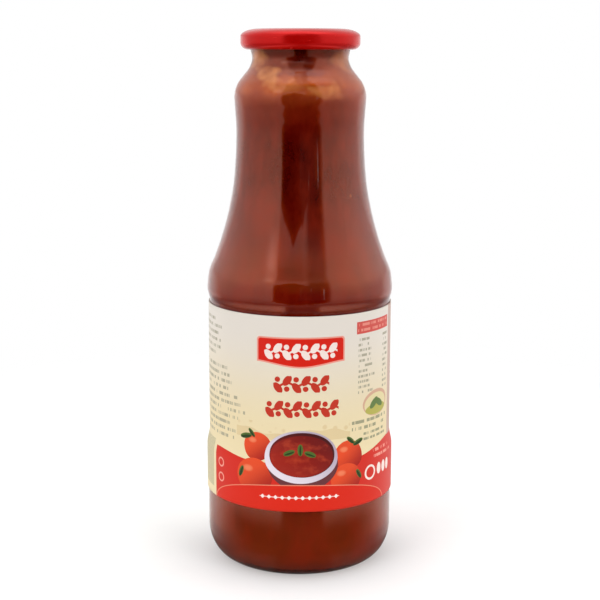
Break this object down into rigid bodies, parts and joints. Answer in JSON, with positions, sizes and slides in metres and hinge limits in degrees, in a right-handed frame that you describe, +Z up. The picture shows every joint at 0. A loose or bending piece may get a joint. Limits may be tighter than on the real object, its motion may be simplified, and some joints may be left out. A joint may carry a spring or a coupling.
{
  "type": "bottle of tomato passata",
  "caption": "Clear glass bottle with a waisted neck, filled with thick tomato passata, shut by a red twist-off lid and wrapped in a paper label.",
  "frame": {"origin": "on the bottle's axis, at the level of the ring that it stands on", "axes": "+Z up along the axis, -Y towards the middle of the label"},
  "size_m": [0.0886, 0.0884, 0.2494],
  "materials": {
    "clear_glass": "clear flint glass, smooth and glossy",
    "passata": "thick wet tomato passata, dark brownish red with a few pale specks",
    "lid_lacquer": "red lacquered tinplate, semi-gloss",
    "label_paper": null
  },
  "bodies": {
    "root": {"bottle_glass": "clear_glass", "passata": "passata", "lid": "lid_lacquer", "label": "label_paper"}
  },
  "joints": []
}
